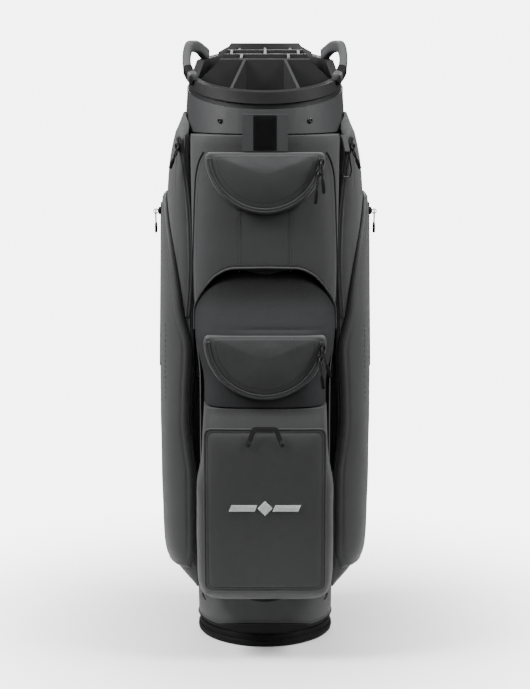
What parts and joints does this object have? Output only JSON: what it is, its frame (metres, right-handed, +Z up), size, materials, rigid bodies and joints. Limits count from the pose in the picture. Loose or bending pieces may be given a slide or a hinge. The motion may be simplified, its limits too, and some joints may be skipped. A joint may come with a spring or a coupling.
{
  "type": "golf cart bag",
  "caption": "Upright golf cart bag with a divided club top, moulded collar and side handles, zipped front and side pockets and a round moulded base.",
  "frame": {"origin": "centre of the base's underside, on the floor", "axes": "+Z up the bag; -Y the way the front pockets face; +X the side with the towel ring"},
  "size_m": [0.3454, 0.3704, 0.9404],
  "materials": {
    "shell_fabric": "matt charcoal coated polyester",
    "lining": "matt black lining",
    "collar_plastic": "fine-grained grey moulding",
    "top_plastic": "fine-grained charcoal moulding",
    "base_plastic": "satin black moulding",
    "foot_rubber": "moulded rubber",
    "zip_tape": "coil zip under a water-resistant film",
    "black_metal": "satin black lacquer",
    "webbing": "woven black webbing",
    "hook_tape": "black hook-and-loop tape",
    "ring_steel": "dark nickel wire",
    "stay_aluminium": "drawn tube"
  },
  "bodies": {
    "bag": {"apparel_pocket_left": "shell_fabric", "apparel_pocket_right": "shell_fabric", "apparel_zip_left": "zip_tape", "apparel_zip_right": "zip_tape", "ball_panel": "shell_fabric", "ball_pocket": "shell_fabric", "base_cup": "base_plastic", "base_pad": "lining", "body_wall": "shell_fabric", "collar": "collar_plastic", "collar_screw_left": "black_metal", "collar_screw_right": "black_metal", "cooler_pocket": "shell_fabric", "cooler_zip": "zip_tape", "divider": "top_plastic", "divider_curtain_front": "lining", "divider_curtain_middle": "lining", "divider_curtain_rear": "lining", "foot_base": "foot_rubber", "front_panel": "shell_fabric", "glove_patch": "hook_tape", "gusset_left": "lining", "gusset_right": "lining", "handle_left": "collar_plastic", "handle_right": "collar_plastic", "pouch_zip_left": "zip_tape", "pouch_zip_right": "zip_tape", "side_pouch_left": "shell_fabric", "side_pouch_right": "shell_fabric", "spine_pad": "shell_fabric", "stay_front_left": "stay_aluminium", "stay_front_right": "stay_aluminium", "stay_rear_left": "stay_aluminium", "stay_rear_right": "stay_aluminium", "strap_anchor_lower": "webbing", "strap_anchor_upper": "webbing", "towel_tab": "webbing", "upper_pocket": "shell_fabric", "upper_zip": "zip_tape"},
    "upper_upper_zip_slider": {"upper_upper_slider": "black_metal"},
    "upper_upper_zip_pull": {"upper_upper_pull": "webbing"},
    "upper_lower_zip_slider": {"upper_lower_slider": "black_metal"},
    "upper_lower_zip_pull": {"upper_lower_pull": "webbing"},
    "cooler_upper_zip_slider": {"cooler_upper_slider": "black_metal"},
    "cooler_upper_zip_pull": {"cooler_upper_pull": "webbing"},
    "cooler_lower_zip_slider": {"cooler_lower_slider": "black_metal"},
    "cooler_lower_zip_pull": {"cooler_lower_pull": "webbing"},
    "apparel_right_zip_slider": {"apparel_right_slider": "black_metal"},
    "apparel_right_zip_pull": {"apparel_right_pull": "webbing"},
    "pouch_right_zip_slider": {"pouch_right_slider": "black_metal"},
    "pouch_right_zip_pull": {"pouch_right_pull": "webbing"},
    "apparel_left_zip_slider": {"apparel_left_slider": "black_metal"},
    "apparel_left_zip_pull": {"apparel_left_pull": "webbing"},
    "pouch_left_zip_slider": {"pouch_left_slider": "black_metal"},
    "pouch_left_zip_pull": {"pouch_left_pull": "webbing"},
    "towel_ring": {"towel_ring": "ring_steel"},
    "grab_loop": {"grab_loop": "webbing"},
    "shoulder_strap": {"strap_web": "webbing", "strap_pad": "shell_fabric"}
  },
  "joints": [
    {"name": "upper_upper_zip_travel", "type": "hinge", "parent": "bag", "child": "upper_upper_zip_slider", "pos_m": [0, -0.1334, 0.774], "axis": [0, 1, 0], "range_deg": [-3, 0]},
    {"name": "upper_upper_pull_swing", "type": "hinge", "parent": "upper_upper_zip_slider", "child": "upper_upper_zip_pull", "pos_m": [0.08281, -0.1424, 0.75987], "axis": [-0.9945, 0, -0.1045], "range_deg": [-5, 150]},
    {"name": "upper_lower_zip_travel", "type": "hinge", "parent": "bag", "child": "upper_lower_zip_slider", "pos_m": [0, -0.1334, 0.774], "axis": [0, 1, 0], "range_deg": [0, 148]},
    {"name": "upper_lower_pull_swing", "type": "hinge", "parent": "upper_lower_zip_slider", "child": "upper_lower_zip_pull", "pos_m": [0.07859, -0.1424, 0.74433], "axis": [-0.9962, 0, 0.0872], "range_deg": [-5, 150]},
    {"name": "cooler_upper_zip_travel", "type": "hinge", "parent": "bag", "child": "cooler_upper_zip_slider", "pos_m": [0, -0.1684, 0.5], "axis": [0, 1, 0], "range_deg": [-3, 0]},
    {"name": "cooler_upper_pull_swing", "type": "hinge", "parent": "cooler_upper_zip_slider", "child": "cooler_upper_zip_pull", "pos_m": [0.08502, -0.1774, 0.48704], "axis": [-0.9563, 0, -0.2924], "range_deg": [-5, 150]},
    {"name": "cooler_lower_zip_travel", "type": "hinge", "parent": "bag", "child": "cooler_lower_zip_slider", "pos_m": [0, -0.1684, 0.5], "axis": [0, 1, 0], "range_deg": [0, 148]},
    {"name": "cooler_lower_pull_swing", "type": "hinge", "parent": "cooler_lower_zip_slider", "child": "cooler_lower_zip_pull", "pos_m": [0.08099, -0.1774, 0.47106], "axis": [-0.9903, 0, -0.1392], "range_deg": [-5, 150]},
    {"name": "apparel_right_zip_travel", "type": "hinge", "parent": "bag", "child": "apparel_right_zip_slider", "pos_m": [1.017, -0.0724, 0.62], "axis": [0, -1, 0], "range_deg": [-0.2, 15]},
    {"name": "apparel_right_pull_swing", "type": "hinge", "parent": "apparel_right_zip_slider", "child": "apparel_right_zip_pull", "pos_m": [0.13134, -0.0814, 0.78002], "axis": [-0.9272, 0, -0.3746], "range_deg": [-5, 110]},
    {"name": "pouch_right_zip_travel", "type": "slide", "parent": "bag", "child": "pouch_right_zip_slider", "axis": [0.0165, 0, -0.9999], "range_m": [-0.005, 0.238]},
    {"name": "pouch_right_pull_swing", "type": "hinge", "parent": "pouch_right_zip_slider", "child": "pouch_right_zip_pull", "pos_m": [0.17122, 0.008, 0.676], "axis": [0, -1, 0], "range_deg": [-5, 150]},
    {"name": "apparel_left_zip_travel", "type": "hinge", "parent": "bag", "child": "apparel_left_zip_slider", "pos_m": [-1.017, -0.0724, 0.62], "axis": [0, 1, 0], "range_deg": [-0.2, 15]},
    {"name": "apparel_left_pull_swing", "type": "hinge", "parent": "apparel_left_zip_slider", "child": "apparel_left_zip_pull", "pos_m": [-0.13134, -0.0814, 0.78002], "axis": [-0.9272, 0, 0.3746], "range_deg": [-5, 110]},
    {"name": "pouch_left_zip_travel", "type": "slide", "parent": "bag", "child": "pouch_left_zip_slider", "axis": [-0.0165, 0, -0.9999], "range_m": [-0.005, 0.238]},
    {"name": "pouch_left_pull_swing", "type": "hinge", "parent": "pouch_left_zip_slider", "child": "pouch_left_zip_pull", "pos_m": [-0.17122, 0.008, 0.676], "axis": [0, 1, 0], "range_deg": [-5, 150]},
    {"name": "towel_ring_swing", "type": "hinge", "parent": "bag", "child": "towel_ring", "pos_m": [0.12307, -0.08788, 0.7741], "axis": [-0.9063, -0.4226, 0], "range_deg": [-4, 60]},
    {"name": "grab_loop_fold", "type": "hinge", "parent": "bag", "child": "grab_loop", "pos_m": [0, -0.1833, 0.344], "axis": [1, 0, 0], "range_deg": [0, 170]},
    {"name": "shoulder_strap_swing", "type": "hinge", "parent": "bag", "child": "shoulder_strap", "pos_m": [0, 0.143, 0.576], "axis": [0, 0, 1], "range_deg": [-50, 50]}
  ]
}
